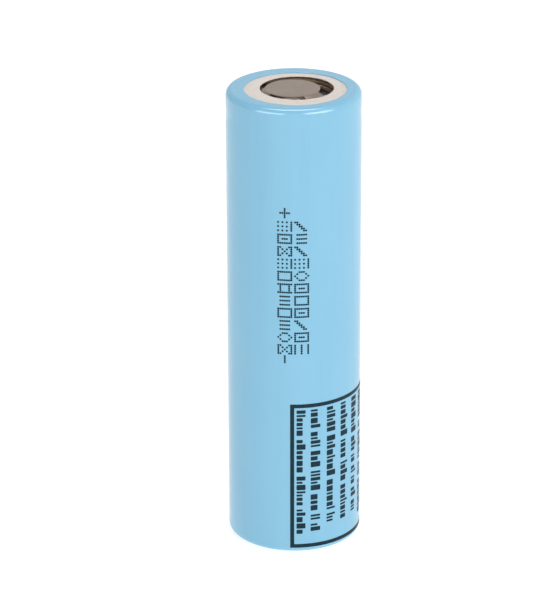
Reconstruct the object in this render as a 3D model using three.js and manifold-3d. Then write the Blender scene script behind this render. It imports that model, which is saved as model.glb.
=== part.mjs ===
// A flat-top cylindrical lithium-ion cell of the common 18 mm by 65 mm size, in millimetres.
// +Z runs from the negative end to the positive end, and the origin is the centre of the base.
// The cell is built as it is assembled: a deep-drawn steel can that holds a wound roll, and a
// header of crimped discs, all inside a heat-shrink sleeve. Round pieces share one facet
// count, so that nested walls stay parallel.
import * as THREE from "three";
import { mergeVertices } from "three/addons/utils/BufferGeometryUtils.js";
import Module from "manifold-3d";

const wasm = await Module();
wasm.setup();

// ---------------------------------------------------------------- driving dimensions
const FACETS = 40; // sides of every round piece
const ROUND = 2 * Math.PI;
const QUARTER = Math.PI / 2;
const PLAY = 0.02; // gap between pieces that lie against each other

const HEIGHT = 65.1; // over the sleeve
const SLEEVE_RADIUS = 9.2;
const SLEEVE_WALL = 0.1;
const SLEEVE_TOP_EDGE_RADIUS = 0.9; // outside
const SLEEVE_BASE_EDGE_RADIUS = 0.8;
const SLEEVE_TOP_LIP_RADIUS = 7.0; // where the film ends over the paper ring
const SLEEVE_BASE_LIP_RADIUS = 6.6;
const SLEEVE_WAIST = 0.05; // how far the film draws in over the can's groove
const SLEEVE_WAIST_REACH = 0.8; // how far above and below the groove it starts to draw in

const CAN_RADIUS = SLEEVE_RADIUS - SLEEVE_WALL - PLAY;
const CAN_WALL = 0.22;
const CAN_FLOOR = 0.3;
const CAN_BASE = SLEEVE_WALL + PLAY;
const CAN_LIP_RADIUS = 6.6; // inner edge of the crimped lip
const CRIMP_RADIUS = 0.9; // outside bend of the crimp
const GROOVE_HALF_WIDTH = 0.55;
const GROOVE_NOSE_RADIUS = 7.78; // smallest outside radius, at the bottom of the groove
const GROOVE_FILLET = 0.35;

const PAPER_RING_THICKNESS = 0.2;
const PAPER_RING_RADIUS = 7.9;
const PAPER_RING_HOLE = 5.0;

const GASKET_WALL = 0.44;
const GASKET_LEG = 0.4;
const GASKET_TOP_HOLE = 5.7;
const GASKET_BASE_HOLE = 7.0;
const GASKET_CHAMFER = 0.14;

const CAP_SHEET = 0.4;
const CAP_FACE_RADIUS = 3.75; // the flat contact face
const CAP_STEP_RADIUS = 5.3; // where the legs meet the flange
const CAP_EDGE_BEVEL = 0.15; // round the contact face
const CAP_LEGS = 3;
const CAP_LEG_WIDTH = 2.7;
const CAP_FIRST_LEG = THREE.MathUtils.degToRad(75); // direction of the first leg from +X

const PTC_THICKNESS = 0.35;
const PTC_HOLE = 5.4;

const VENT_SHEET = 0.3;
const VENT_DISH_RADIUS = 5.6;
const VENT_BUTTON_RADIUS = 1.5;
const VENT_DISH_DEPTH = 0.55;
const VENT_SCORE_RADIUS = 4.2;
const VENT_SCORE_HALF_WIDTH = 0.12;
const VENT_SCORE_DEPTH = 0.12;

const CID_PLATE_THICKNESS = 0.4;
const CID_PLATE_RADIUS = 6.6;
const CID_PLATE_HOLES = 6;
const CID_PLATE_HOLE_RADIUS = 0.7;
const CID_PLATE_HOLE_CIRCLE = 3.9;
const CID_RING_WALL = 0.25;
const CID_RING_HOLE = 5.65;

const ROLL_CORE_RADIUS = 1.8;
const ROLL_PITCH = 0.8; // radial growth in one turn
const ROLL_FACETS = 20; // sides in one turn of the winding
const ROLL_BASE = 0.95; // lower edge of the separators
const ROLL_TOP = 60.2; // upper edge of the separators
const ANODE_SETBACK = 0.5; // how far the anode's edges stay inside the separators'
const CATHODE_SETBACK = 1.0;
const ROLL_TAPE_FROM = THREE.MathUtils.degToRad(234); // round the roll, from +X
const ROLL_TAPE_TO = THREE.MathUtils.degToRad(306);
const ROLL_TAPE_INSET = 8; // from each end of the roll
// Each layer of the winding: the span of its thickness inside one pitch, and its turns.
const INNER_SEPARATOR = { low: 0.0, high: 0.06, from: 0.0, to: 7.7 };
const ANODE = { low: 0.08, high: 0.38, from: 0.1, to: 7.3 };
const OUTER_SEPARATOR = { low: 0.4, high: 0.46, from: 0.0, to: 7.75 };
const CATHODE = { low: 0.48, high: 0.76, from: 0.25, to: 6.9 };

const INSULATOR_THICKNESS = 0.2;
const INSULATOR_CENTRE_HOLE = 1.6;
const UPPER_INSULATOR_RADIUS = 8.6;
const UPPER_INSULATOR_LIFT = 0.3; // above the roll
const GAS_HOLE_RADIUS = 0.9;
const GAS_HOLE_CIRCLE = 5;
const LOWER_INSULATOR_RADIUS = 8.45;
const SLOT_MARGIN = 0.2; // round a tab, in a slot that it passes through

const TAB_THICKNESS = 0.1;
const TAB_WIDTH = 3.4;
const TAB_BEND = 0.42; // radius of the fold along the middle of the strip
const TAB_OVERHANG = 0.15; // how far the flat part of a tab passes its upright part
const CATHODE_TAB_TURN = 4; // the turn of the winding that the tab is welded in
const CATHODE_TAB_FOLD = -3.2; // X of the fold's centre
const CATHODE_TAB_END = 2.6; // X of the end under the plate
const ANODE_TAB_TURN = 7;
const ANODE_TAB_END = -2.2; // X of the end on the can's floor
const TAPE_THICKNESS = 0.05;
const TAPE_MARGIN = 0.4; // how far tape reaches past a tab's edges
const ANODE_TAPE_FROM = 1.0; // X
const ANODE_TAPE_TO = 6.8;

// ---------------------------------------------------------------- levels worked out from them
const PAPER_RING_TOP = HEIGHT - SLEEVE_WALL - PLAY;
const CAN_TOP = PAPER_RING_TOP - PAPER_RING_THICKNESS - PLAY;
const CAN_INSIDE_RADIUS = CAN_RADIUS - CAN_WALL;
const GASKET_TOP = CAN_TOP - CAN_WALL - PLAY;
const GASKET_RADIUS = CAN_INSIDE_RADIUS - PLAY;
const CAP_FLANGE_TOP = GASKET_TOP - GASKET_LEG - PLAY;
const CAP_FLANGE_BASE = CAP_FLANGE_TOP - CAP_SHEET;
const CAP_TOP = PAPER_RING_TOP;
const STACK_RADIUS = GASKET_RADIUS - GASKET_WALL - PLAY;
const PTC_TOP = CAP_FLANGE_BASE - PLAY;
const VENT_TOP = PTC_TOP - PTC_THICKNESS - PLAY;
const VENT_RIM_BASE = VENT_TOP - VENT_SHEET;
const VENT_BUTTON_BASE = VENT_RIM_BASE - VENT_DISH_DEPTH;
const GASKET_LEG_TOP = VENT_RIM_BASE - PLAY;
const GASKET_BASE = GASKET_LEG_TOP - GASKET_LEG;
const BEAD_TOP = GASKET_BASE - PLAY; // the shoulder that carries the header, inside the can
const GROOVE_LEVEL = BEAD_TOP - CAN_WALL - GROOVE_HALF_WIDTH; // middle of the groove
const CID_PLATE_TOP = VENT_BUTTON_BASE - PLAY;
const CID_PLATE_BASE = CID_PLATE_TOP - CID_PLATE_THICKNESS;
const UPPER_INSULATOR_BASE = ROLL_TOP + UPPER_INSULATOR_LIFT;
const UPPER_INSULATOR_TOP = UPPER_INSULATOR_BASE + INSULATOR_THICKNESS;
const CATHODE_TAB_LEVEL = CID_PLATE_BASE - PLAY - TAB_THICKNESS / 2 - 2 * TAB_BEND;
const CAN_FLOOR_TOP = CAN_BASE + CAN_FLOOR;
const ANODE_TAB_BASE = CAN_FLOOR_TOP + PLAY;
const LOWER_INSULATOR_BASE = ANODE_TAB_BASE + TAB_THICKNESS + TAPE_THICKNESS + 2 * PLAY;

// ---------------------------------------------------------------- helpers
const at = (x, y) => new THREE.Vector2(x, y);

// Points along an arc, for a profile or an outline.
function arc(x, y, radius, from, to, steps) {
  return Array.from({ length: steps + 1 }, (_, i) => {
    const angle = from + ((to - from) * i) / steps;
    return at(x + radius * Math.cos(angle), y + radius * Math.sin(angle));
  });
}

// A solid of revolution about Z. The profile is [radius, height] points, anticlockwise.
function turned(profile, closed = true) {
  const points = closed ? [...profile, profile[0].clone()] : profile;
  return new THREE.LatheGeometry(points, FACETS).rotateX(QUARTER);
}

// A closed ring of points round the centre, or round (x, y).
function circle(radius, sides = FACETS, x = 0, y = 0) {
  return arc(x, y, radius, 0, ROUND, sides).slice(0, sides);
}

// A flat plate that lies between two levels, with holes through it.
function plate(outline, base, top, holes = []) {
  const shape = new THREE.Shape(outline);
  shape.holes = holes.map((points) => new THREE.Path(points));
  const settings = { depth: top - base, bevelEnabled: false };
  return new THREE.ExtrudeGeometry(shape, settings).translate(0, 0, base);
}

function washer(radius, hole, base, top) {
  return turned([at(hole, base), at(radius, base), at(radius, top), at(hole, top)]);
}

function box(lowX, highX, lowY, highY) {
  return [at(lowX, lowY), at(highX, lowY), at(highX, highY), at(lowX, highY)];
}

// A stretch of one layer of the winding, seen from above: out along its inner face and back
// along its outer face. Its corners fall on the same directions in every turn.
function layerOutline({ low, high, from, to }) {
  const steps = Math.round((to - from) * ROLL_FACETS);
  const face = (offset) =>
    Array.from({ length: steps + 1 }, (_, i) => {
      const turn = from + i / ROLL_FACETS;
      const radius = ROLL_CORE_RADIUS + ROLL_PITCH * turn + offset;
      return at(radius * Math.cos(turn * ROUND), radius * Math.sin(turn * ROUND));
    });
  return [...face(high), ...face(low).reverse()];
}

// A strip of sheet bent along a path in the XZ plane, and TAB_WIDTH wide in Y.
function bentStrip(path) {
  const tangent = (i) =>
    path[Math.min(i + 1, path.length - 1)].clone().sub(path[Math.max(i - 1, 0)]);
  const side = (sign) =>
    path.map((point, i) => {
      const along = tangent(i).normalize();
      const away = (sign * TAB_THICKNESS) / 2;
      return at(point.x - along.y * away, point.y + along.x * away);
    });
  const shape = new THREE.Shape([...side(1), ...side(-1).reverse()]);
  const settings = { depth: TAB_WIDTH, bevelEnabled: false };
  return new THREE.ExtrudeGeometry(shape, settings)
    .rotateX(QUARTER)
    .translate(0, TAB_WIDTH / 2, 0);
}

// three.js geometry to a manifold-3d solid, and back.
function solid(geometry) {
  const bare = geometry.clone();
  bare.deleteAttribute("normal");
  bare.deleteAttribute("uv");
  const merged = mergeVertices(bare, 1e-4);
  return new wasm.Manifold(
    new wasm.Mesh({
      numProp: 3,
      vertProperties: merged.attributes.position.array,
      triVerts: new Uint32Array(merged.index.array),
    }),
  );
}

function geometryOf(made) {
  const mesh = made.getMesh();
  const geometry = new THREE.BufferGeometry();
  const points = new Float32Array(mesh.vertProperties);
  geometry.setAttribute("position", new THREE.BufferAttribute(points, 3));
  geometry.setIndex(new THREE.BufferAttribute(new Uint32Array(mesh.triVerts), 1));
  return geometry;
}

// ---------------------------------------------------------------- casing and sleeve
// Shrink film: rolled over both ends, and drawn in a little where the can's groove is.
function sleeve() {
  const inside = SLEEVE_RADIUS - SLEEVE_WALL;
  const top = at(SLEEVE_RADIUS - SLEEVE_TOP_EDGE_RADIUS, HEIGHT - SLEEVE_TOP_EDGE_RADIUS);
  const base = at(SLEEVE_RADIUS - SLEEVE_BASE_EDGE_RADIUS, SLEEVE_BASE_EDGE_RADIUS);
  const waist = (radius) =>
    [-1, -0.5, 0, 0.5, 1].map((step) => {
      const share = (1 + Math.cos(Math.PI * step)) / 2;
      return at(radius - SLEEVE_WAIST * share, GROOVE_LEVEL + SLEEVE_WAIST_REACH * step);
    });
  return turned([
    at(SLEEVE_BASE_LIP_RADIUS, 0),
    ...arc(base.x, base.y, SLEEVE_BASE_EDGE_RADIUS, -QUARTER, 0, 4),
    ...waist(SLEEVE_RADIUS),
    ...arc(top.x, top.y, SLEEVE_TOP_EDGE_RADIUS, 0, QUARTER, 5),
    at(SLEEVE_TOP_LIP_RADIUS, HEIGHT),
    at(SLEEVE_TOP_LIP_RADIUS, HEIGHT - SLEEVE_WALL),
    ...arc(top.x, top.y, SLEEVE_TOP_EDGE_RADIUS - SLEEVE_WALL, QUARTER, 0, 5),
    ...waist(inside).reverse(),
    ...arc(base.x, base.y, SLEEVE_BASE_EDGE_RADIUS - SLEEVE_WALL, 0, -QUARTER, 4),
    at(SLEEVE_BASE_LIP_RADIUS, SLEEVE_WALL),
  ]);
}

// Drawn can: flat base with a rounded corner, a rolled groove, and a lip crimped over the header.
function can() {
  const baseBend = SLEEVE_BASE_EDGE_RADIUS - SLEEVE_WALL - PLAY;
  const baseCorner = at(CAN_RADIUS - baseBend, CAN_BASE + baseBend);
  const crimp = at(CAN_RADIUS - CRIMP_RADIUS, CAN_TOP - CRIMP_RADIUS);
  const noseCentre = GROOVE_NOSE_RADIUS + GROOVE_HALF_WIDTH;
  const fillet = at(CAN_RADIUS - GROOVE_FILLET, GROOVE_HALF_WIDTH + GROOVE_FILLET);
  const groove = (wall) => [
    ...arc(fillet.x, GROOVE_LEVEL - fillet.y, GROOVE_FILLET - wall, 0, QUARTER, 2),
    ...arc(noseCentre, GROOVE_LEVEL, GROOVE_HALF_WIDTH + wall, -QUARTER, -3 * QUARTER, 4),
    ...arc(fillet.x, GROOVE_LEVEL + fillet.y, GROOVE_FILLET - wall, -QUARTER, 0, 2),
  ];
  return turned(
    [
      at(0, CAN_BASE),
      at(SLEEVE_BASE_LIP_RADIUS - PLAY, CAN_BASE), // edge of the bare contact face
      ...arc(baseCorner.x, baseCorner.y, baseBend, -QUARTER, 0, 3),
      ...groove(0),
      ...arc(crimp.x, crimp.y, CRIMP_RADIUS, 0, QUARTER, 4),
      at(CAN_LIP_RADIUS, CAN_TOP),
      at(CAN_LIP_RADIUS, CAN_TOP - CAN_WALL),
      ...arc(crimp.x, crimp.y, CRIMP_RADIUS - CAN_WALL, QUARTER, 0, 4),
      ...groove(CAN_WALL).reverse(),
      ...arc(baseCorner.x, baseCorner.y, baseBend - CAN_FLOOR, 0, -QUARTER, 2),
      at(0, CAN_FLOOR_TOP),
    ],
    false,
  );
}

function topInsulatorRing() {
  const base = PAPER_RING_TOP - PAPER_RING_THICKNESS;
  return washer(PAPER_RING_RADIUS, PAPER_RING_HOLE, base, PAPER_RING_TOP);
}

// ---------------------------------------------------------------- header, from the top down
// Moulded gasket, folded over the edge of the stack by the crimp.
function crimpGasket() {
  const crimpX = CAN_RADIUS - CRIMP_RADIUS;
  const bend = GASKET_TOP - (CAN_TOP - CRIMP_RADIUS);
  const pocket = GASKET_RADIUS - GASKET_WALL;
  return turned([
    at(GASKET_BASE_HOLE, GASKET_BASE),
    at(GASKET_RADIUS - GASKET_CHAMFER, GASKET_BASE),
    at(GASKET_RADIUS, GASKET_BASE + GASKET_CHAMFER),
    ...arc(crimpX, GASKET_TOP - bend, bend, 0, QUARTER, 4),
    at(GASKET_TOP_HOLE, GASKET_TOP),
    at(GASKET_TOP_HOLE, GASKET_TOP - GASKET_LEG),
    at(pocket, GASKET_TOP - GASKET_LEG),
    at(pocket, GASKET_LEG_TOP),
    at(GASKET_BASE_HOLE, GASKET_LEG_TOP),
  ]);
}

// Positive terminal: a flat face on three legs, with a gas window between each two.
function topCap() {
  const pressed = turned(
    [
      at(0, CAP_TOP - CAP_SHEET),
      at(CAP_FACE_RADIUS - CAP_SHEET / 4, CAP_TOP - CAP_SHEET),
      at(CAP_STEP_RADIUS - (3 * CAP_SHEET) / 4, CAP_FLANGE_BASE),
      at(STACK_RADIUS, CAP_FLANGE_BASE),
      at(STACK_RADIUS, CAP_FLANGE_TOP),
      at(CAP_STEP_RADIUS, CAP_FLANGE_TOP),
      at(CAP_FACE_RADIUS + CAP_EDGE_BEVEL, CAP_TOP - CAP_EDGE_BEVEL),
      at(CAP_FACE_RADIUS, CAP_TOP),
      at(0, CAP_TOP),
    ],
    false,
  );
  const outerHalf = Math.asin(CAP_LEG_WIDTH / 2 / CAP_STEP_RADIUS);
  const innerHalf = Math.asin(CAP_LEG_WIDTH / 2 / CAP_FACE_RADIUS);
  let made = solid(pressed);
  for (let i = 0; i < CAP_LEGS; i += 1) {
    const leg = CAP_FIRST_LEG + (i * ROUND) / CAP_LEGS;
    const nextLeg = leg + ROUND / CAP_LEGS;
    const outline = [
      ...arc(0, 0, CAP_STEP_RADIUS, leg + outerHalf, nextLeg - outerHalf, 9),
      ...arc(0, 0, CAP_FACE_RADIUS, nextLeg - innerHalf, leg + innerHalf, 9),
    ];
    made = made.subtract(solid(plate(outline, CAP_FLANGE_BASE - 1, CAP_TOP + 1)));
  }
  return geometryOf(made);
}

function ptcRing() {
  return washer(STACK_RADIUS, PTC_HOLE, PTC_TOP - PTC_THICKNESS, PTC_TOP);
}

// Burst disc: flat rim, a shallow dish with a scored ring, and the button welded to the plate
// below it. When the gas pressure is too high the dish flattens and the button lifts.
function ventDisc() {
  const slope = VENT_DISH_DEPTH / (VENT_DISH_RADIUS - VENT_BUTTON_RADIUS);
  const dish = (radius) => VENT_TOP - slope * (VENT_DISH_RADIUS - radius);
  const scoreOutside = VENT_SCORE_RADIUS + VENT_SCORE_HALF_WIDTH;
  const scoreInside = VENT_SCORE_RADIUS - VENT_SCORE_HALF_WIDTH;
  return turned(
    [
      at(0, VENT_BUTTON_BASE),
      at(VENT_BUTTON_RADIUS, VENT_BUTTON_BASE),
      at(VENT_DISH_RADIUS, VENT_RIM_BASE),
      at(STACK_RADIUS, VENT_RIM_BASE),
      at(STACK_RADIUS, VENT_TOP),
      at(VENT_DISH_RADIUS, VENT_TOP),
      at(scoreOutside, dish(scoreOutside)),
      at(VENT_SCORE_RADIUS, dish(VENT_SCORE_RADIUS) - VENT_SCORE_DEPTH),
      at(scoreInside, dish(scoreInside)),
      at(VENT_BUTTON_RADIUS, dish(VENT_BUTTON_RADIUS)),
      at(0, dish(VENT_BUTTON_RADIUS)),
    ],
    false,
  );
}

// Keeps the rims of the burst disc and the plate apart, so that only the button joins them.
function cidInsulator() {
  const skirt = CID_PLATE_RADIUS + PLAY;
  const top = VENT_RIM_BASE - PLAY;
  return turned([
    at(CID_RING_HOLE, CID_PLATE_TOP + PLAY),
    at(skirt, CID_PLATE_TOP + PLAY),
    at(skirt, CID_PLATE_BASE),
    at(skirt + CID_RING_WALL, CID_PLATE_BASE),
    at(skirt + CID_RING_WALL, top),
    at(CID_RING_HOLE, top),
  ]);
}

function cidPlate() {
  const holes = Array.from({ length: CID_PLATE_HOLES }, (_, i) => {
    const angle = ((i + 0.5) * ROUND) / CID_PLATE_HOLES;
    const x = CID_PLATE_HOLE_CIRCLE * Math.cos(angle);
    const y = CID_PLATE_HOLE_CIRCLE * Math.sin(angle);
    return circle(CID_PLATE_HOLE_RADIUS, 10, x, y);
  });
  return plate(circle(CID_PLATE_RADIUS), CID_PLATE_BASE, CID_PLATE_TOP, holes);
}

// ---------------------------------------------------------------- wound roll
function layer(span, setback) {
  return plate(layerOutline(span), ROLL_BASE + setback, ROLL_TOP - setback);
}

// Tape round the outside of the roll, over the end of the last turn.
function rollEndTape() {
  const low = ROLL_CORE_RADIUS + ROLL_PITCH * OUTER_SEPARATOR.to + OUTER_SEPARATOR.high + PLAY;
  const outline = [
    ...arc(0, 0, low + TAPE_THICKNESS, ROLL_TAPE_FROM, ROLL_TAPE_TO, 8),
    ...arc(0, 0, low, ROLL_TAPE_TO, ROLL_TAPE_FROM, 8),
  ];
  return plate(outline, ROLL_BASE + ROLL_TAPE_INSET, ROLL_TOP - ROLL_TAPE_INSET);
}

// The end of a tab inside the roll, between two separators, in the place of its electrode.
function tabRoot(electrode, turn, base, top) {
  const middle = (electrode.low + electrode.high) / 2;
  const reach = 1 / ROLL_FACETS;
  const outline = layerOutline({
    low: middle - TAB_THICKNESS / 2,
    high: middle + TAB_THICKNESS / 2,
    from: turn - reach,
    to: turn + reach,
  });
  const strip = plate(box(0, CAN_RADIUS, -TAB_WIDTH / 2, TAB_WIDTH / 2), base, top);
  return solid(plate(outline, base, top)).intersect(solid(strip));
}

const tabRadius = (electrode, turn) =>
  ROLL_CORE_RADIUS + ROLL_PITCH * turn + (electrode.low + electrode.high) / 2;

// Aluminium tab: up out of the roll, across the middle, and folded back under the plate.
function cathodeTab() {
  const x = tabRadius(CATHODE, CATHODE_TAB_TURN);
  const upper = CID_PLATE_BASE - PLAY - TAB_THICKNESS / 2;
  const fold = at(CATHODE_TAB_FOLD, (CATHODE_TAB_LEVEL + upper) / 2);
  const strip = bentStrip([
    at(x + TAB_OVERHANG, CATHODE_TAB_LEVEL),
    ...arc(fold.x, fold.y, TAB_BEND, -QUARTER, -3 * QUARTER, 6),
    at(CATHODE_TAB_END, upper),
  ]);
  const rootBase = ROLL_TOP - CATHODE_SETBACK + PLAY;
  const root = tabRoot(CATHODE, CATHODE_TAB_TURN, rootBase, CATHODE_TAB_LEVEL);
  return geometryOf(solid(strip).add(root));
}

// Nickel tab: down out of the outer turns, then under the roll to the middle of the can's floor.
function anodeTab() {
  const x = tabRadius(ANODE, ANODE_TAB_TURN);
  const level = ANODE_TAB_BASE + TAB_THICKNESS / 2;
  const strip = bentStrip([at(x + TAB_OVERHANG, level), at(ANODE_TAB_END, level)]);
  const rootTop = ROLL_BASE + ANODE_SETBACK - PLAY;
  return geometryOf(solid(strip).add(tabRoot(ANODE, ANODE_TAB_TURN, level, rootTop)));
}

// Polyimide tape on the cathode tab where it passes the edges of the roll and the insulator.
function cathodeTabTape() {
  const middle = (CATHODE.low + CATHODE.high) / 2;
  const low = middle + TAB_THICKNESS / 2 + PLAY;
  const reach = 1 / ROLL_FACETS;
  const outline = layerOutline({
    low,
    high: low + TAPE_THICKNESS,
    from: CATHODE_TAB_TURN - reach,
    to: CATHODE_TAB_TURN + reach,
  });
  return plate(outline, ROLL_TOP + PLAY, CATHODE_TAB_LEVEL - TAB_THICKNESS / 2 - PLAY);
}

// A patch of the same tape on the side of the anode tab that faces the roll.
function anodeTabTape() {
  const base = ANODE_TAB_BASE + TAB_THICKNESS + PLAY;
  const reach = TAB_WIDTH / 2 + TAPE_MARGIN;
  return plate(box(ANODE_TAPE_FROM, ANODE_TAPE_TO, -reach, reach), base, base + TAPE_THICKNESS);
}

// A slot across X where a tab passes through an insulator.
function tabSlot(x, halfLength) {
  const halfWidth = TAB_WIDTH / 2 + SLOT_MARGIN;
  return box(x - halfLength, x + halfLength, -halfWidth, halfWidth);
}

// Perforated disc above the roll: a centre hole, gas holes, and a slot for the cathode tab.
function upperInsulatorDisc() {
  const slot = tabSlot(tabRadius(CATHODE, CATHODE_TAB_TURN), 2 * SLOT_MARGIN + TAB_THICKNESS);
  const gasHoles = [2, 3, 4].map((i) => {
    const angle = (i * ROUND) / 6;
    const x = GAS_HOLE_CIRCLE * Math.cos(angle);
    return circle(GAS_HOLE_RADIUS, 10, x, GAS_HOLE_CIRCLE * Math.sin(angle));
  });
  const holes = [circle(INSULATOR_CENTRE_HOLE, 16), slot, ...gasHoles];
  const outline = circle(UPPER_INSULATOR_RADIUS);
  return plate(outline, UPPER_INSULATOR_BASE, UPPER_INSULATOR_TOP, holes);
}

// Disc under the roll: a centre hole for the weld, and a slot for the anode tab.
function lowerInsulatorDisc() {
  const slot = tabSlot(tabRadius(ANODE, ANODE_TAB_TURN), SLOT_MARGIN + TAB_THICKNESS);
  const holes = [circle(INSULATOR_CENTRE_HOLE, 16), slot];
  return plate(circle(LOWER_INSULATOR_RADIUS), LOWER_INSULATOR_BASE, ROLL_BASE - PLAY, holes);
}

// ---------------------------------------------------------------- materials and assembly
const finish = (color, roughness, metalness) =>
  new THREE.MeshStandardMaterial({ color, roughness, metalness });

const film = finish(0x93cbe8, 0.38, 0);
const paper = finish(0xddd4cf, 0.9, 0);
const nickelSteel = finish(0xb4ada4, 0.3, 1);
const nickel = finish(0xc0bcb2, 0.35, 1);
const aluminium = finish(0xc9ccd0, 0.35, 1);
const gasketPlastic = finish(0x8e7c5e, 0.6, 0);
const palePlastic = finish(0xe6e3da, 0.6, 0);
const thermistor = finish(0x3b3a3c, 0.7, 0);
const graphite = finish(0x2a2a2c, 0.8, 0.1);
const oxide = finish(0x3a393b, 0.75, 0.1);
const separator = finish(0xf1f0ec, 0.5, 0);
const polyimide = finish(0xb5762a, 0.4, 0);
const glassCloth = finish(0x7d8f5a, 0.8, 0);

const cell = new THREE.Group();

function place(name, geometry, material) {
  const mesh = new THREE.Mesh(geometry, material);
  mesh.name = name;
  cell.add(mesh);
}

place("sleeve", sleeve(), film);
place("can", can(), nickelSteel);
place("top_insulator_ring", topInsulatorRing(), paper);
place("crimp_gasket", crimpGasket(), gasketPlastic);
place("top_cap", topCap(), nickelSteel);
place("ptc_ring", ptcRing(), thermistor);
place("vent_disc", ventDisc(), aluminium);
place("cid_insulator", cidInsulator(), palePlastic);
place("cid_plate", cidPlate(), aluminium);
place("upper_insulator_disc", upperInsulatorDisc(), glassCloth);
place("lower_insulator_disc", lowerInsulatorDisc(), glassCloth);
place("separator_inner", layer(INNER_SEPARATOR, 0), separator);
place("anode_sheet", layer(ANODE, ANODE_SETBACK), graphite);
place("separator_outer", layer(OUTER_SEPARATOR, 0), separator);
place("cathode_sheet", layer(CATHODE, CATHODE_SETBACK), oxide);
place("roll_end_tape", rollEndTape(), polyimide);
place("cathode_tab", cathodeTab(), aluminium);
place("cathode_tab_tape", cathodeTabTape(), polyimide);
place("anode_tab", anodeTab(), nickel);
place("anode_tab_tape", anodeTabTape(), polyimide);

export default cell;
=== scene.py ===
"""A flat-top round battery cell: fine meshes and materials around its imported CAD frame.

Lengths are in millimetres until a mesh is made. The cell stands on its negative end, with its
axis on Z, and its printed side faces -Y.
"""

import math
import random

import bmesh
import bpy
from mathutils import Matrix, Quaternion, Vector


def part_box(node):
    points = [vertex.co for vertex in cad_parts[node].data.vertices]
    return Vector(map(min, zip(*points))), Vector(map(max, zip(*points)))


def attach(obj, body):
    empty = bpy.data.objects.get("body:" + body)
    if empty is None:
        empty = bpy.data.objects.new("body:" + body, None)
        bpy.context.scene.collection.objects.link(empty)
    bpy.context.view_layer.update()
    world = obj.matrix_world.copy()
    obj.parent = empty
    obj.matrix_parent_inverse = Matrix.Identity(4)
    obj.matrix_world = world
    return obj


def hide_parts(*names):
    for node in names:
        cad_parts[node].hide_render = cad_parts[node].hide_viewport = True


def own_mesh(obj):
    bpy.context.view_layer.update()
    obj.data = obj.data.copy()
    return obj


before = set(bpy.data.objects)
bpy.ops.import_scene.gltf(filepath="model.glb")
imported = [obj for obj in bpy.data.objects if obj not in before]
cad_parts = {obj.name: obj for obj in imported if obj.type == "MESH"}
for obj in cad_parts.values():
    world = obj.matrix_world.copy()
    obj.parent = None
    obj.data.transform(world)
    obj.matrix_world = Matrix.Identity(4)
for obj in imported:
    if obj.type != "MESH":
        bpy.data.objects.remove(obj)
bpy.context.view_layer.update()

MM = 0.001
TURN = 2 * math.pi
QUARTER = math.pi / 2
SIDES = 256  # round a turned piece
SHARP_ANGLE = math.radians(40)  # edges sharper than this stay sharp
GAP = 0.02  # between pieces that lie against each other

# ------------------------------------------------------------ sizes that the frame doesn't give
FILM_WALL = 0.1
FILM_TOP_EDGE = 0.85  # outside radius of the film's bend over the header
FILM_BASE_EDGE = 0.8
FILM_TOP_LIP = 6.92
FILM_BASE_LIP = 6.6
FILM_LIP_SHIFT = Vector((0.24, -0.34))  # the shrunk lip isn't quite centred
FILM_WAIST_DEPTH = 0.045  # how far the film draws in over the can's groove
FILM_WAIST_REACH = 1.6  # how far above and below the groove it starts to draw in
FILM_SETTLE = 0.02  # how far the film sinks outside the paper ring

PAPER_SHIFT = Vector((0.42, 0.32))  # the loose ring isn't quite centred either
PAPER_HOLE = 5.0
PAPER_RADIUS = 7.8

CAN_WALL = 0.22
CAN_FLOOR = 0.3
CAN_LIP = 6.6  # inside radius of the crimped lip
CRIMP_RADIUS = 0.9
GROOVE_LEVEL = 61.8  # middle of the groove
GROOVE_NOSE = 7.78  # smallest outside radius, at the bottom of the groove
GROOVE_HALF = 0.55
GROOVE_FILLET = 0.35

GASKET_TOP_HOLE = 5.7
GASKET_BASE_HOLE = 7.0
GASKET_LEG = 0.4
GASKET_WALL = 0.44
GASKET_CHAMFER = 0.14
GASKET_TIP_CHAMFER = 0.1

CAP_SHEET = 0.4
CAP_FACE = 3.75  # radius of the raised face
CAP_STEP = 5.3  # radius at which the slope of the legs ends
CAP_BEND = 0.3
CAP_EASE = 0.12  # each bend starts this far beyond the slope
CAP_LEG_WIDTH = 2.7
CAP_FOOT_FLARE = 0.5  # how much wider each side of a leg is at its foot
CAP_FIRST_LEG = math.radians(75)
CAP_FACE_SHIFT = Vector((-0.16, 0.16))  # the raised face isn't quite centred
CAP_LEGS = 3

PTC_HOLE = 5.4

VENT_SHEET = 0.3
VENT_DISH = 5.6  # radius at which the flat rim ends
VENT_BUTTON = 1.5
VENT_SCORE = 4.2  # radius of the scored ring
VENT_SCORE_DEPTH = 0.12
VENT_SCORE_HALF = 0.14

PLATE_HOLES = 6
PLATE_HOLE_RADIUS = 0.7
PLATE_HOLE_CIRCLE = 3.9
CID_RING_HOLE = 5.65
CID_RING_WALL = 0.25

CORE_RADIUS = 1.8
ROLL_PITCH = 0.32
ROLL_STEPS = 72  # in one turn
ROLL_LAYERS = {  # inner face, outer face, first turn and last turn
    "separator_inner": (0.0, 0.02, 0.0, 19.6),
    "anode_sheet": (0.025, 0.165, 0.1, 19.1),
    "separator_outer": (0.17, 0.19, 0.0, 19.8),
    "cathode_sheet": (0.195, 0.315, 0.25, 18.7),
}
TAB_WIDTH = 3.4
TAB_THICKNESS = 0.1
TAB_BEND = 0.42  # radius of the cathode tab's fold
TAB_BEND_ANGLES = (0, 0.4, 0.8, 1.2, QUARTER)
CATHODE_TAB_CORNER = 0.18
CATHODE_TAB_REACH = 5.8  # length of the run under the contact plate
ANODE_TAB_CORNER = 0.12
CATHODE_TAB_TURN = 11
ANODE_TAB_TURN = 17
TAPE_THICKNESS = 0.05
ROLL_TAPE_MIDDLE = 1.5 * math.pi
ROLL_TAPE_HALF = 0.2 * math.pi
TAB_TAPE_HALF = 0.32  # in radians, as the roll tape's angles are
TAB_TAPE_GAP = 0.01
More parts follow.
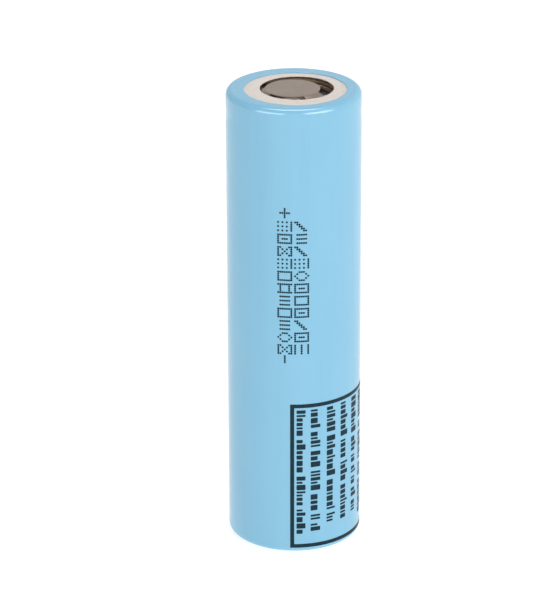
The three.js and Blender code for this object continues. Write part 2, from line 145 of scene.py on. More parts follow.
TAB_TAPE_MARGIN = 0.15  # the tape stops this far below its CAD top
CORE_HOLE = 1.6  # middle hole of both insulator discs
GAS_HOLE = 0.9
GAS_HOLE_CIRCLE = 5
GAS_HOLE_ANGLES = (TURN / 3, TURN / 2, TURN / 1.5)
TAB_SLOT_PLAY = 0.2  # at each side of a tab
CATHODE_SLOT_HALF = 0.5
ANODE_SLOT_HALF = 0.3

INK_LIFT = 0.012
INK_STEP = 0.3  # longest straight run of ink round the cell
SIGN_WIDTH = 5  # dots across a sign
SIGN_HEIGHT = 7
DOT_PITCH = 0.298
DOT_RADIUS = 0.148
DOT_SIDES = 12
CODE_ADVANCE = 6 * DOT_PITCH
CODE_CELLS = 11
CODE_FIRST = 48.6  # level of the first sign in each row
CODE_ROWS = (-1.28, 1.02)  # left and right, measured round the cell
PLUS_ADVANCES = 1.07  # from the plus sign to the first sign
MINUS_ADVANCES = 0.72  # from the last sign to the minus sign
PANEL_LINE = 0.56  # width of the frame's line
PANEL_BASE = 0.75
PANEL_TOP = 22.55
PANEL_LEFT = -0.56
PANEL_RIGHT = 18.6
PANEL_MARGIN = 0.35
PANEL_FIRST_LINE = 0.32  # foot of the first line, whose marks are smaller
PANEL_SECOND_LINE = 2.3
PANEL_LINE_PITCH = 2.4
PANEL_LINES = 8
BLOCK_LENGTHS = (0.3, 0.5, 0.62, 0.8)
BLOCK_HEIGHT = 1.0
BLOCK_HEIGHT_FIRST = 0.85
BLOCK_RISE = 0.4  # how much higher the tall blocks are
BLOCK_RISE_SHARE = 0.35
BLOCK_CORNER = 0.09
BLOCK_GAP = 0.18
WORD_GAP = 0.45
LAST_BLOCK_ROOM = 0.6
PRINT_TILT = math.radians(0.28)
PRINT_TILT_SHARE = 0.2

FLOOR_RADIUS = 6000
FLOOR_DROP = 0.01
ROOM_SHARES = (  # axis, start and end of the change, brightness before it and after it
    ("Z", 0.36, 0.66, 0.9, 0.4),
    ("X", -1, 1, 0.42, 0.97),
)
LIGHTS = (  # name, direction, distance, width, depth, radiance, is diffused, is mirrored
    ("overhead", (0.02, 0.13, 0.99), 700, 560, 560, 3.05, True, False),
    ("left_front", (-0.60, -0.78, 0.19), 900, 700, 260, 2.0, True, True),
    ("right_front", (0.62, -0.74, 0.27), 900, 700, 260, 3.4, True, True),
    ("overhead_strip", (0.0, -0.07, 1.0), 600, 560, 150, 9.5, False, True),
    ("left_strip", (-0.63, -0.75, 0.10), 950, 840, 480, 6.0, False, True),
    ("right_strip", (0.66, -0.70, 0.23), 950, 840, 440, 5.4, False, True),
)
CAMERA_DISTANCE = 457.8
CAMERA_ELEVATION = math.radians(22.36)
CAMERA_ROLL = math.radians(-0.24)
CAMERA_LENS = 198.7
CAMERA_SENSOR = 36
CAMERA_AIM = Vector((-3.31, 0, 1.71))  # from the middle of the cell


def extent(node):
    """Outside radius, base level and top level of a round CAD node."""
    low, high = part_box(node)
    return high.x / MM, low.z / MM, high.z / MM


# ------------------------------------------------------------ mesh helpers
def arc(r, z, radius, start, end, steps):
    """Points along an arc in a profile, angles from the outward direction."""
    angles = [start + (end - start) * i / steps for i in range(steps + 1)]
    return [(r + radius * math.cos(a), z + radius * math.sin(a)) for a in angles]


def polar(radius, angle, level=0.0):
    """A point at a distance from the axis, in a direction round it."""
    return Vector((radius * math.cos(angle), radius * math.sin(angle), level))


def smooth_step(value):
    value = min(max(value, 0.0), 1.0)
    return value * value * (3 - 2 * value)


def add_object(name, mesh):
    """An object in the scene from a bmesh, with smooth faces between its sharp edges."""
    bmesh.ops.recalc_face_normals(mesh, faces=mesh.faces)
    data = bpy.data.meshes.new(name)
    mesh.to_mesh(data)
    mesh.free()
    for polygon in data.polygons:
        polygon.use_smooth = True
    data.set_sharp_from_angle(angle=SHARP_ANGLE)
    piece = bpy.data.objects.new(name, data)
    bpy.context.scene.collection.objects.link(piece)
    return piece


def turned(name, profile, closed=True, shape=None):
    """A piece turned about Z. The profile is (radius, level) points, anticlockwise. shape moves
    a point of the turned surface, given its radius, level and angle."""
    mesh = bmesh.new()
    rings = []
    for radius, level in profile:
        count = SIDES if radius > 0 else 1
        ring = []
        for i in range(count):
            angle = TURN * i / SIDES
            point = polar(radius, angle, level)
            if shape:
                point = shape(point, radius, level, angle)
            ring.append(mesh.verts.new(point * MM))
        rings.append(ring)
    following = rings[1:] + ([rings[0]] if closed else [])
    for lower, upper in zip(rings, following):
        for i in range(SIDES):
            j = (i + 1) % SIDES
            corners = [lower[i % len(lower)], lower[j % len(lower)]]
            corners += [upper[j % len(upper)], upper[i % len(upper)]]
            mesh.faces.new(list(dict.fromkeys(corners)))
    return add_object(name, mesh)


def join_sections(mesh, sections):
    """Faces from each section to the next, and one over each end."""
    count = len(sections[0])
    for here, there in zip(sections, sections[1:]):
        for k in range(count):
            j = (k + 1) % count
            mesh.faces.new([here[k], here[j], there[j], there[k]])
    mesh.faces.new(sections[0])
    mesh.faces.new(sections[-1])


def rounded_ring(hole, radius, base, top, edge):
    """The profile of a washer with rounded edges."""
    return [
        *arc(hole + edge, base + edge, edge, -2 * QUARTER, -QUARTER, 4),
        *arc(radius - edge, base + edge, edge, -QUARTER, 0, 4),
        *arc(radius - edge, top - edge, edge, 0, QUARTER, 4),
        *arc(hole + edge, top - edge, edge, QUARTER, 2 * QUARTER, 4),
    ]


def circle(radius, x=0.0, y=0.0, sides=SIDES):
    angles = [TURN * i / sides for i in range(sides)]
    return [(x + radius * math.cos(a), y + radius * math.sin(a)) for a in angles]


def rectangle(low_x, high_x, low_y, high_y):
    return [(low_x, low_y), (high_x, low_y), (high_x, high_y), (low_x, high_y)]


def apply_modifiers(piece):
    """Puts what a piece's modifiers make into its mesh."""
    graph = bpy.context.evaluated_depsgraph_get()
    data = bpy.data.meshes.new_from_object(piece.evaluated_get(graph))
    piece.modifiers.clear()
    piece.data = data


def plate(name, base, top, outlines, edge=0.03):
    """A flat plate with holes and rounded edges. The first outline is the outside."""
    curve = bpy.data.curves.new(name, "CURVE")
    curve.dimensions = "2D"
    curve.fill_mode = "BOTH"
    curve.extrude = ((top - base) / 2 - edge) * MM
    curve.bevel_depth = edge * MM
    curve.bevel_resolution = 2
    curve.offset = -edge * MM
    for outline in outlines:
        spline = curve.splines.new("POLY")
        spline.points.add(len(outline) - 1)
        for point, (x, y) in zip(spline.points, outline):
            point.co = (x * MM, y * MM, 0, 1)
        spline.use_cyclic_u = True
    shaper = bpy.data.objects.new(name + "_outline", curve)
    bpy.context.scene.collection.objects.link(shaper)
    graph = bpy.context.evaluated_depsgraph_get()
    data = bpy.data.meshes.new_from_object(shaper.evaluated_get(graph))
    bpy.data.objects.remove(shaper)
    mesh = bmesh.new()
    mesh.from_mesh(data)
    bmesh.ops.remove_doubles(mesh, verts=mesh.verts, dist=0.001 * MM)
    bmesh.ops.translate(mesh, verts=mesh.verts, vec=(0, 0, (base + top) / 2 * MM))
    return add_object(name, mesh)


def stand_in(piece, body, slot, material, *nodes):
    """Gives a piece its material and body, and hides the CAD nodes that it stands for. Its slot
    is not used.
    """
    piece.data.materials.clear()
    piece.data.materials.append(material)
    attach(piece, body)
    if nodes:
        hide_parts(*nodes)


# ------------------------------------------------------------ materials
def map_range(tree, source, low, high, start, end):
    """Turns a value's span from start to end into the span from low to high."""
    spread = tree.nodes.new("ShaderNodeMapRange")
    spread.inputs["From Min"].default_value = start
    spread.inputs["From Max"].default_value = end
    spread.inputs["To Min"].default_value = low
    spread.inputs["To Max"].default_value = high
    tree.links.new(source, spread.inputs["Value"])
    return spread.outputs["Result"]


class Surface:
    """A Principled material whose detail comes from noise in the piece's own millimetres."""

    def __init__(self, name, color, roughness, metallic=0.0):
        self.material = bpy.data.materials.new(name)
        self.material.use_nodes = True
        self.tree = self.material.node_tree
        self.shader = self.tree.nodes["Principled BSDF"]
        self.shader.inputs["Base Color"].default_value = (*color, 1)
        self.shader.inputs["Roughness"].default_value = roughness
        self.shader.inputs["Metallic"].default_value = metallic
        self.place = self.node("ShaderNodeTexCoord").outputs["Object"]
        self.normal = None

    def node(self, kind, **settings):
        made = self.tree.nodes.new(kind)
        for key, value in settings.items():
            setattr(made, key, value)
        return made

    def link(self, output, node, name):
        self.tree.links.new(output, node.inputs[name])

    def stretched(self, stretch):
        mapping = self.node("ShaderNodeMapping")
        mapping.inputs["Scale"].default_value = [factor / MM for factor in stretch]
        self.link(self.place, mapping, "Vector")
        return mapping.outputs["Vector"]

    def noise(self, scale, detail=3.0, stretch=(1, 1, 1), offset=0.0):
        texture = self.node("ShaderNodeTexNoise", noise_dimensions="4D")
        texture.inputs["Scale"].default_value = scale
        texture.inputs["Detail"].default_value = detail
        texture.inputs["W"].default_value = offset
        self.link(self.stretched(stretch), texture, "Vector")
        return texture.outputs["Fac"]

    def rings(self, scale, detail=4.0):
        """Noise that depends on the distance from the axis alone, as turning marks do."""
        flat = self.node("ShaderNodeVectorMath", operation="LENGTH")
        self.link(self.stretched((1, 1, 0)), flat, 0)
        texture = self.node("ShaderNodeTexNoise", noise_dimensions="1D")
        texture.inputs["Scale"].default_value = scale
        texture.inputs["Detail"].default_value = detail
        self.link(flat.outputs["Value"], texture, "W")
        return texture.outputs["Fac"]

    def ranged(self, source, low, high, start=0.3, end=0.7):
        """Stretches the middle of a noise to the span from low to high."""
        return map_range(self.tree, source, low, high, start, end)

    def color_between(self, source, first, second, start=0.3, end=0.7):
        ramp = self.node("ShaderNodeValToRGB")
        for element, place, color in zip(
            ramp.color_ramp.elements, (start, end), (first, second)
        ):
            element.position = place
            element.color = (*color, 1)
        self.link(source, ramp, "Fac")
        self.link(ramp.outputs["Color"], self.shader, "Base Color")
        return ramp.outputs["Color"]

    def tinted(self, color, source, tint, start, end):
        """Lays a tint over a colour where a noise is high."""
        mix = self.node("ShaderNodeMix", data_type="RGBA")
        self.tree.links.new(color, mix.inputs[6])
        mix.inputs[7].default_value = (*tint, 1)
        self.link(self.ranged(source, 0, 1, start, end), mix, 0)
        self.link(mix.outputs[2], self.shader, "Base Color")

    def roughness(self, source, low, high):
        self.link(self.ranged(source, low, high), self.shader, "Roughness")

    def bump(self, source, depth):
        """Raises the surface by up to depth, in millimetres, where the noise is high."""
        made = self.node("ShaderNodeBump")
        made.inputs["Strength"].default_value = 1.0
        made.inputs["Distance"].default_value = depth * MM
        self.link(source, made, "Height")
        if self.normal:
            self.link(self.normal, made, "Normal")
        self.normal = made.outputs["Normal"]
        self.link(self.normal, self.shader, "Normal")

    def set(self, **sockets):
        for name, value in sockets.items():
            self.shader.inputs[name.replace("_", " ")].default_value = value


def film_material():
    surface = Surface("shrink_film", (0.25, 0.55, 0.76), 0.2)
    surface.set(IOR=1.5)
    cloud = surface.noise(0.16, 2, (1, 1, 0.5))
    color = surface.color_between(cloud, (0.243, 0.545, 0.75), (0.257, 0.562, 0.768))
    streak = surface.noise(1.1, 2, (1, 1, 0.04), 4)
    surface.tinted(color, streak, (0.236, 0.537, 0.745), 0.5, 0.8)
    surface.roughness(surface.noise(0.7, 3, offset=7), 0.12, 0.18)
    surface.bump(surface.noise(0.3, 1, offset=2), 0.03)
    surface.bump(surface.noise(1.6, 1, offset=3), 0.0015)
    return surface.material


def paper_material():
    surface = Surface("ring_paper", (0.74, 0.68, 0.63), 0.85)
    surface.set(IOR=1.45)
    pulp = surface.noise(1.4, 4)
    color = surface.color_between(pulp, (0.70, 0.63, 0.585), (0.765, 0.705, 0.66))
    fleck = surface.noise(3.0, 2, (1, 2.2, 1), 5)
    surface.tinted(color, fleck, (0.55, 0.46, 0.38), 0.64, 0.8)
    surface.bump(surface.noise(3.5, 3, (1, 1.8, 1), 1), 0.012)
    return surface.material


def cap_material():
    surface = Surface("cap_steel", (0.44, 0.37, 0.32), 0.36, 1.0)
    cloud = surface.noise(0.45, 4)
    color = surface.color_between(cloud, (0.5, 0.41, 0.345), (0.555, 0.455, 0.385))
    surface.tinted(color, surface.noise(2.4, 3, offset=6), (0.38, 0.3, 0.25), 0.58, 0.8)
    surface.roughness(surface.noise(1.2, 3, (1, 5, 1), 3), 0.3, 0.42)
    surface.bump(surface.noise(2.5, 2, (0.3, 2, 1), 2), 0.004)
    return surface.material


def can_material():
    surface = Surface("can_steel", (0.6, 0.57, 0.52), 0.3, 1.0)
    cloud = surface.noise(0.3, 4)
    surface.color_between(cloud, (0.56, 0.53, 0.48), (0.63, 0.6, 0.56))
    surface.roughness(surface.noise(2.0, 4, (1, 1, 0.05), 1), 0.24, 0.38)
    surface.bump(surface.rings(4.0), 0.003)
    surface.bump(surface.noise(5.0, 3, (1, 1, 0.04), 3), 0.003)
    return surface.material


def plain_material(name, color, roughness, metallic=0.0, grain=4.0, share=0.12):
    """A material with a slight change of colour, roughness and height at one scale."""
    surface = Surface(name, color, roughness, metallic)
    darker = [value * (1 - share) for value in color]
    lighter = [min(1.0, value * (1 + share)) for value in color]
    surface.color_between(surface.noise(grain * 0.3, 4), darker, lighter)
    surface.roughness(surface.noise(grain, 4, offset=2), roughness * 0.85, roughness * 1.15)
    surface.bump(surface.noise(grain * 2, 4, offset=5), 0.004)
    return surface.material


def pressed_metal_material(name, color, roughness):
    """Stamped aluminium: fine turning marks and a slight bloom."""
    surface = Surface(name, color, roughness, 1.0)
    surface.color_between(surface.noise(0.5, 4), [v * 0.92 for v in color], color)
    surface.roughness(surface.noise(1.5, 4, offset=2), roughness * 0.8, roughness * 1.2)
    surface.bump(surface.rings(5.0), 0.004)
    return surface.material


def glass_cloth_material():
    """Resin-bonded cloth: two sets of threads that cross."""
    surface = Surface("glass_cloth", (0.3, 0.36, 0.16), 0.6)
    threads = []
    for direction in ("X", "Y"):
        wave = surface.node("ShaderNodeTexWave", bands_direction=direction)
        wave.inputs["Scale"].default_value = 0.8
        wave.inputs["Distortion"].default_value = 0.4
        surface.link(surface.stretched((1, 1, 1)), wave, "Vector")
        threads.append(wave.outputs["Fac"])
    weave = surface.node("ShaderNodeMath", operation="MULTIPLY")
    surface.link(threads[0], weave, 0)
    surface.link(threads[1], weave, 1)
    surface.color_between(weave.outputs["Value"], (0.22, 0.28, 0.11), (0.38, 0.44, 0.22), 0, 1)
    surface.bump(weave.outputs["Value"], 0.03)
    return surface.material


def ink_material():
    surface = Surface("ink", (0.012, 0.045, 0.065), 0.42)
    surface.set(Specular_IOR_Level=0.12)
    blot = surface.noise(2.2, 4)
    surface.color_between(blot, (0.005, 0.022, 0.034), (0.01, 0.04, 0.056))
    surface.roughness(surface.noise(3.0, 3, offset=2), 0.36, 0.5)
    return surface.material


def floor_material():
    surface = Surface("floor_white", (0.35, 0.35, 0.35), 0.7)
    surface.set(Specular_IOR_Level=0.0)
    surface.set(Emission_Color=(1, 1, 1, 1), Emission_Strength=0.78)
    return surface.material


FILM = film_material()
PAPER = paper_material()
CAP_STEEL = cap_material()
CAN_STEEL = can_material()
INK = ink_material()
GASKET = plain_material("gasket_plastic", (0.27, 0.2, 0.11), 0.5)
THERMISTOR = plain_material("thermistor", (0.05, 0.045, 0.045), 0.6, grain=8)
VENT_METAL = pressed_metal_material("vent_aluminium", (0.78, 0.79, 0.8), 0.3)
TAB_METAL = pressed_metal_material("tab_aluminium", (0.8, 0.81, 0.82), 0.32)
NICKEL = plain_material("tab_nickel", (0.66, 0.62, 0.55), 0.34, 1.0)
PALE_PLASTIC = plain_material("insulator_plastic", (0.76, 0.73, 0.66), 0.5)
GLASS_CLOTH = glass_cloth_material()
SEPARATOR = plain_material("separator", (0.85, 0.84, 0.82), 0.5, grain=2, share=0.03)
GRAPHITE = plain_material("anode_coating", (0.03, 0.03, 0.033), 0.65, grain=9, share=0.3)
OXIDE = plain_material("cathode_coating", (0.05, 0.047, 0.05), 0.75, grain=9, share=0.2)
POLYIMIDE = plain_material("polyimide_tape", (0.5, 0.2, 0.03), 0.3, grain=2)


# ------------------------------------------------------------ sleeve, ring and can
def ripple(seed, counts, size):
    """A small wave round the cell, made of a few whole counts with seeded phases."""
    rolls = random.Random(seed)
    waves = [(count, rolls.uniform(0, TURN), rolls.uniform(0.5, 1)) for count in counts]
    total = sum(weight for _, _, weight in waves)
    return lambda angle: sum(
        size * weight / total * math.sin(count * angle + phase)
        for count, phase, weight in waves
    )


def make_sleeve():
    radius, base, top = extent("sleeve")
    top_r = radius - FILM_TOP_EDGE
    top_z = top - FILM_TOP_EDGE
    base_r = radius - FILM_BASE_EDGE
    base_z = base + FILM_BASE_EDGE
    lip_edge = FILM_WALL / 2
    straight_top = GROOVE_LEVEL - 2
    drop = 0.3  # width over which the film comes down from the paper ring

    def wall(offset):
        """The straight side and its waist, upwards, at an offset in from the outside."""
        points = []
        for i in range(25):
            share = i / 12 - 1
            depth = FILM_WAIST_DEPTH * (1 + math.cos(math.pi * share)) / 2
            points.append((radius - offset - depth, GROOVE_LEVEL + FILM_WAIST_REACH * share))
        return points

    def crown(offset):
        """Over the header, inwards to the lip: a bend, a slight hollow, then the paper ring."""
        bend = arc(top_r, top_z, FILM_TOP_EDGE - offset, 0, QUARTER, 14)
        flat = []
        for i in range(1, 13):
            r = top_r + (FILM_TOP_LIP + lip_edge - top_r) * i / 12
            on_paper = smooth_step((PAPER_RADIUS + drop / 2 - r) / drop)
            hollow = FILM_SETTLE * (1 - on_paper) * smooth_step((top_r - r) / 0.25)
            flat.append((r, top - offset - hollow))
        return bend + flat

    lip = arc(FILM_TOP_LIP + lip_edge, top - lip_edge, lip_edge, QUARTER, 3 * QUARTER, 6)
    base_lip = arc(FILM_BASE_LIP + lip_edge, base + lip_edge, lip_edge, QUARTER, 3 * QUARTER, 6)
    profile = [
        *base_lip[1:],
        *arc(base_r, base_z, FILM_BASE_EDGE, -QUARTER, 0, 12),
        *[(radius, base_z + (straight_top - base_z) * i / 6) for i in range(1, 7)],
        *wall(0),
        *crown(0),
        *lip[1:-1],
        *reversed(crown(FILM_WALL)),
        *reversed(wall(FILM_WALL)),
        *arc(base_r, base_z, FILM_BASE_EDGE - FILM_WALL, 0, -QUARTER, 12),
    ]
    lip_wave = ripple(11, (2, 3, 5, 8, 13), 0.09)
    top_wave = ripple(12, (3, 7, 12, 19), 0.02)
    bend_wave = ripple(13, (3, 5, 9), 0.02)
    base_wave = ripple(14, (2, 4, 7, 11), 0.14)

    def shrink(point, r, level, angle):
        out = polar(1, angle)
        if level > GROOVE_LEVEL:
            near_lip = smooth_step((top_r - r) / (top_r - FILM_TOP_LIP))
            on_bend = smooth_step((level - top_z) / 0.3) * (1 - near_lip)
            bulge = lip_wave(angle) * near_lip - 0.5 * abs(bend_wave(angle)) * on_bend
            point = point + out * bulge + FILM_LIP_SHIFT.to_3d() * near_lip
            point.z -= abs(top_wave(angle)) * (near_lip * (1 - near_lip) * 4 + on_bend)
        elif r < base_r:
            near_lip = smooth_step((base_r - r) / (base_r - FILM_BASE_LIP))
            point = point + out * base_wave(angle) * near_lip
        return point

    sleeve = turned("shrink_sleeve", profile, shape=shrink)
    stand_in(sleeve, "cell", "shrink_film", FILM, "sleeve")


def make_paper_ring():
    _, base, top = extent("top_insulator_ring")
    cut = ripple(21, (2, 3, 7, 17), 0.025)

    def place(point, r, level, angle):
        out = polar(1, angle)
        return point + PAPER_SHIFT.to_3d() + out * cut(angle)

    edge = 0.04
    profile = [
        (PAPER_HOLE + 0.3, base),  # the punch tears the ring's lower edge
        *arc(PAPER_RADIUS - edge, base + edge, edge, -QUARTER, 0, 4),
        *arc(PAPER_RADIUS - edge, top - edge, edge, 0, QUARTER, 4),
        *arc(PAPER_HOLE + edge, top - edge, edge, QUARTER, 2 * QUARTER, 4),
        (PAPER_HOLE, top - 0.1),
    ]
    ring = turned("paper_ring", profile, shape=place)
    stand_in(ring, "cell", "ring_paper", PAPER, "top_insulator_ring")


def make_can():
    radius, base, top = extent("can")
    corner = FILM_BASE_EDGE - FILM_WALL
    crimp = (radius - CRIMP_RADIUS, top - CRIMP_RADIUS)
    nose = GROOVE_NOSE + GROOVE_HALF
    fillet_r = radius - GROOVE_FILLET
    fillet_z = GROOVE_HALF + GROOVE_FILLET

    def groove(wall):
        small = GROOVE_FILLET - wall
        return [
            *arc(fillet_r, GROOVE_LEVEL - fillet_z, small, 0, QUARTER, 6),
            *arc(nose, GROOVE_LEVEL, GROOVE_HALF + wall, -QUARTER, -3 * QUARTER, 16),
            *arc(fillet_r, GROOVE_LEVEL + fillet_z, small, -QUARTER, 0, 6),
        ]

    lip = arc(CAN_LIP + CAN_WALL / 2, top - CAN_WALL / 2, CAN_WALL / 2, QUARTER, 3 * QUARTER, 6)
    inner_corner = corner - CAN_FLOOR
    profile = [
        (0, base),
        (FILM_BASE_LIP, base),
        *arc(radius - corner, base + corner, corner, -QUARTER, 0, 8),
        *groove(0),
        *arc(*crimp, CRIMP_RADIUS, 0, QUARTER, 12),
        *lip,
        *arc(*crimp, CRIMP_RADIUS - CAN_WALL, QUARTER, 0, 12),
        *reversed(groove(CAN_WALL)),
        *arc(radius - corner, base + corner, inner_corner, 0, -QUARTER, 4),
        (0, base + CAN_FLOOR),
    ]
    can = turned("drawn_can", profile, closed=False)
    stand_in(can, "cell", "can_steel", CAN_STEEL, "can")


# ------------------------------------------------------------ header
def make_gasket():
    radius, base, top = extent("crimp_gasket")
    crimp_r = extent("can")[0] - CRIMP_RADIUS
    bend = top - (extent("can")[2] - CRIMP_RADIUS)
    pocket = radius - GASKET_WALL
    tip = GASKET_LEG / 2
    profile = [
        (GASKET_BASE_HOLE, base + GASKET_TIP_CHAMFER),
        (GASKET_BASE_HOLE + GASKET_TIP_CHAMFER, base),
        (radius - GASKET_CHAMFER, base),
        (radius, base + GASKET_CHAMFER),
        *arc(crimp_r, top - bend, bend, 0, QUARTER, 12),
        *arc(GASKET_TOP_HOLE + tip, top - tip, tip, QUARTER, 3 * QUARTER, 10),
        (pocket, top - GASKET_LEG),
        (pocket, base + GASKET_LEG),
        (GASKET_BASE_HOLE, base + GASKET_LEG),
    ]
    gasket = turned("crimp_gasket_ring", profile)
    stand_in(gasket, "cell", "gasket_plastic", GASKET, "crimp_gasket")


def cap_angle(leg, side, share, radius):
    """Direction of a column of the cap's mesh. side 0 is across a leg, and 1 across the window
    after it. share runs from 0 to 1. The legs have straight sides that flare at the foot."""
    start = CAP_FIRST_LEG + TURN * leg / CAP_LEGS
    held = min(max(radius, CAP_FACE), CAP_STEP)
    flare = smooth_step((held - CAP_FACE) / (CAP_STEP - CAP_FACE) * 2 - 1) * CAP_FOOT_FLARE
    half_width = CAP_LEG_WIDTH / 2 + flare
    half = math.asin(half_width / held)
    if side == 0:
        return start + math.asin(half_width * (2 * share - 1) / held)
    return start + half + (TURN / CAP_LEGS - 2 * half) * share


def make_cap():
    """The pressed sheet's upper face, less its windows, thickened and with eased edges."""
    radius, base, top = extent("top_cap")
    leg_columns = 12
    window_columns = 40
    flange = base + CAP_SHEET
    slope = math.atan2(top - flange, CAP_STEP - CAP_FACE)
    foot_r = CAP_STEP + CAP_EASE
    shoulder = arc(CAP_FACE - CAP_EASE, top - CAP_BEND, CAP_BEND, QUARTER, QUARTER - slope, 6)
    foot = arc(foot_r, flange + CAP_BEND, CAP_BEND, -QUARTER - slope, -QUARTER, 6)
    profile = [
        *[(CAP_FACE * i / 5, top) for i in range(1, 5)],
        *shoulder,
        *foot,
        *[(foot_r + (radius - foot_r) * i / 4, flange) for i in range(1, 5)],
    ]
    columns = []
    for leg in range(CAP_LEGS):
        columns += [(leg, 0, i / leg_columns) for i in range(leg_columns)]
        columns += [(leg, 1, i / window_columns) for i in range(window_columns)]
    mesh = bmesh.new()
    centre = mesh.verts.new((CAP_FACE_SHIFT.to_3d() + Vector((0, 0, top))) * MM)
    rings = []
    for r, z in profile:
        on_face = smooth_step((foot_r - r) / (foot_r - CAP_FACE))
        ring = []
        for leg, side, share in columns:
            angle = cap_angle(leg, side, share, r)
            point = polar(r, angle, z) + CAP_FACE_SHIFT.to_3d() * on_face
            ring.append(mesh.verts.new(point * MM))
        rings.append(ring)
    first_open = profile.index(shoulder[-3])
    last_open = profile.index(foot[3])
    count = len(columns)
    for i in range(count):
        mesh.faces.new([centre, rings[0][i], rings[0][(i + 1) % count]])
    for k, (lower, upper) in enumerate(zip(rings, rings[1:])):
        for i in range(count):
            if columns[i][1] == 1 and first_open <= k < last_open:
                continue
            j = (i + 1) % count
            mesh.faces.new([lower[i], lower[j], upper[j], upper[i]])
    cap = add_object("terminal_cap", mesh)
    sheet = cap.modifiers.new("sheet", "SOLIDIFY")
    sheet.thickness = CAP_SHEET * MM
    sheet.offset = -1
    sheet.use_even_offset = True
    eased = cap.modifiers.new("eased", "BEVEL")
    eased.width = 0.05 * MM
    eased.segments = 3
    eased.limit_method = "ANGLE"
    eased.angle_limit = math.radians(50)
    apply_modifiers(cap)
    stand_in(cap, "cell", "cap_steel", CAP_STEEL, "top_cap")


def make_ptc_ring():
    radius, base, top = extent("ptc_ring")
    ring = turned("thermistor_ring", rounded_ring(PTC_HOLE, radius, base, top, 0.04))
    stand_in(ring, "cell", "thermistor", THERMISTOR, "ptc_ring")


def make_vent_disc():
    """Flat rim, shallow dish with a scored ring, and the button, in a body of its own. The real
    disc lifts from the button up while its rim stays clamped; here it is one rigid sheet."""
    radius, base, top = extent("vent_disc")
    rim_base = top - VENT_SHEET
    fall = rim_base - base
    steps = 48
    edge = 0.06

    def level(r):
        return top - fall * smooth_step((VENT_DISH - r) / (VENT_DISH - VENT_BUTTON))

    upper = []
    for i in range(steps + 1):
        r = VENT_DISH - (VENT_DISH - VENT_BUTTON) * i / steps
        score = max(0.0, 1 - abs(r - VENT_SCORE) / VENT_SCORE_HALF)
        upper.append((r, level(r) - VENT_SCORE_DEPTH * smooth_step(score)))
    lower = [(r, level(r) - VENT_SHEET) for r, _ in upper[::2]]
    profile = [
        (0, base),
        *reversed(lower),
        *arc(radius - edge, rim_base + edge, edge, -QUARTER, 0, 3),
        *arc(radius - edge, top - edge, edge, 0, QUARTER, 3),
        *upper,
        (0, level(0)),
    ]
    disc = turned("burst_disc_sheet", profile, closed=False)
    stand_in(disc, "burst_disc", "vent_aluminium", VENT_METAL, "vent_disc")
    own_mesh(disc)


def make_cid_parts():
    radius, base, top = extent("cid_insulator")
    plate_radius, plate_base, plate_top = extent("cid_plate")
    skirt = radius - CID_RING_WALL
    edge = 0.05
    seat = base + (plate_top - plate_base) + GAP
    profile = [
        (skirt, base),
        *arc(radius - edge, base + edge, edge, -QUARTER, 0, 3),
        *arc(radius - edge, top - edge, edge, 0, QUARTER, 3),
        *arc(CID_RING_HOLE + edge, top - edge, edge, QUARTER, 2 * QUARTER, 3),
        *arc(CID_RING_HOLE + edge, seat + edge, edge, 2 * QUARTER, 3 * QUARTER, 3),
        (skirt, seat),
    ]
    ring = turned("disc_insulator_ring", profile)
    stand_in(ring, "cell", "insulator_plastic", PALE_PLASTIC, "cid_insulator")
    outlines = [circle(plate_radius)]
    for i in range(PLATE_HOLES):
        middle = polar(PLATE_HOLE_CIRCLE, (i + 0.5) * TURN / PLATE_HOLES)
        outlines.append(circle(PLATE_HOLE_RADIUS, middle.x, middle.y, 40))
    contact = plate("contact_plate", plate_base, plate_top, outlines, 0.04)
    stand_in(contact, "cell", "vent_aluminium", VENT_METAL, "cid_plate")


# ------------------------------------------------------------ wound roll
def spiral_radius(turn, offset):
    return CORE_RADIUS + ROLL_PITCH * turn + offset


def sheet_radius(node, turn):
    """Radius of the middle of a layer at a turn, where its tab is."""
    inner, outer, _, _ = ROLL_LAYERS[node]
    return spiral_radius(turn, (inner + outer) / 2)


def make_layer(node, material, slot):
    """One layer of the winding, at its real thickness, for every turn."""
    inner, outer, first, last = ROLL_LAYERS[node]
    _, base, top = extent(node)
    steps = round((last - first) * ROLL_STEPS)
    mesh = bmesh.new()
    sections = []
    for i in range(steps + 1):
        turn = first + i / ROLL_STEPS
        angle = turn * TURN
        section = []
        for offset, level in ((inner, base), (outer, base), (outer, top), (inner, top)):
            point = polar(spiral_radius(turn, offset), angle, level)
            section.append(mesh.verts.new(point * MM))
        sections.append(section)
    join_sections(mesh, sections)
    piece = add_object("wound_" + node, mesh)
    stand_in(piece, "cell", slot, material, node)


def tab_strip(name, path, curl_radius, curl):
    """A strip bent along a path in the XZ plane. curl says, for each point of the path, how
    much of the roll's curvature the strip keeps across its width."""
    across = 12
    mesh = bmesh.new()
    sections = []
    for i, (x, z) in enumerate(path):
        before = path[max(i - 1, 0)]
        after = path[min(i + 1, len(path) - 1)]
        along = Vector((after[0] - before[0], after[1] - before[1])).normalized()
        side = Vector((-along.y, along.x)) * TAB_THICKNESS / 2
        section = []
        for sign in (1, -1):
            line = [k if sign > 0 else across - k for k in range(across + 1)]
            for k in line:
                y = TAB_WIDTH * (k / across - 0.5)
                sag = curl_radius - math.sqrt(curl_radius**2 - y * y)
                point = Vector((x + sign * side.x - sag * curl[i], y, z + sign * side.y))
                section.append(mesh.verts.new(point * MM))
        sections.append(section)
    join_sections(mesh, sections)
    return add_object(name, mesh)


def tab_corner(x, z, radius, way):
    """A bend inwards from a run at x to a run at z. way is 1 from below and -1 from above."""
    return [
        (x - radius + radius * math.cos(a), z - way * radius * (1 - math.sin(a)))
        for a in TAB_BEND_ANGLES
    ]


